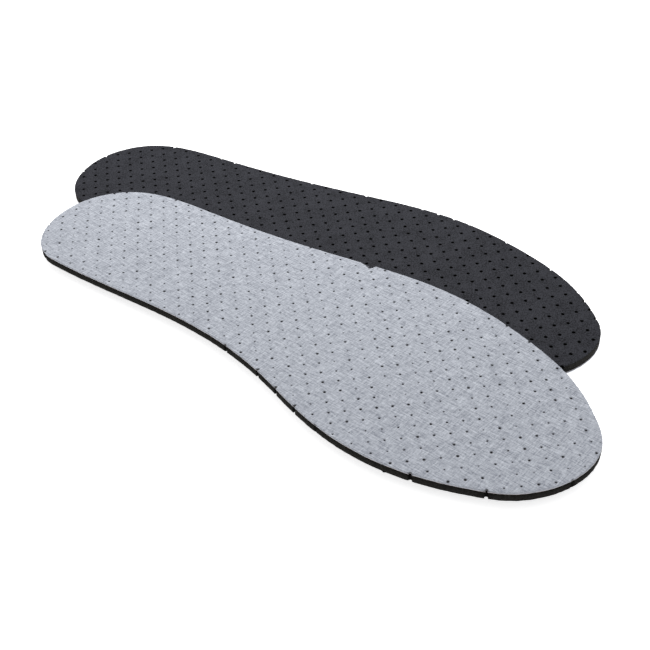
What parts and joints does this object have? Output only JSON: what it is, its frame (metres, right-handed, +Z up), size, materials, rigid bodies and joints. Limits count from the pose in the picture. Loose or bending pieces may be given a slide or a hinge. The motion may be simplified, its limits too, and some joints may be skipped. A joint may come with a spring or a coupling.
{
  "type": "cushioned insole",
  "caption": "Flat perforated shoe insoles, left and right, each a woven cover bonded to a thin foam cushion; one lies cover up across the other, which is turned over.",
  "frame": {"origin": "under the middle of the pair, on the surface that it lies on", "axes": "+X along the right insole from heel to toe, +Z up from the surface"},
  "size_m": [0.295, 0.1484, 0.0079],
  "materials": {
    "cover_fabric": "heathered light grey-blue plain weave, matt",
    "bond_film": "hot-melt web, milky",
    "cushion_foam": "fine closed-cell foam, matt dark slate"
  },
  "bodies": {
    "right_insole": {"right_cover": "cover_fabric", "right_bond_film": "bond_film", "right_foam": "cushion_foam"},
    "left_insole": {"left_foam": "cushion_foam", "left_bond_film": "bond_film", "left_cover": "cover_fabric"}
  },
  "joints": [
    {"name": "left_lift_off", "type": "slide", "parent": "right_insole", "child": "left_insole", "axis": [0, 0, 1], "range_m": [0, 0.1]}
  ]
}
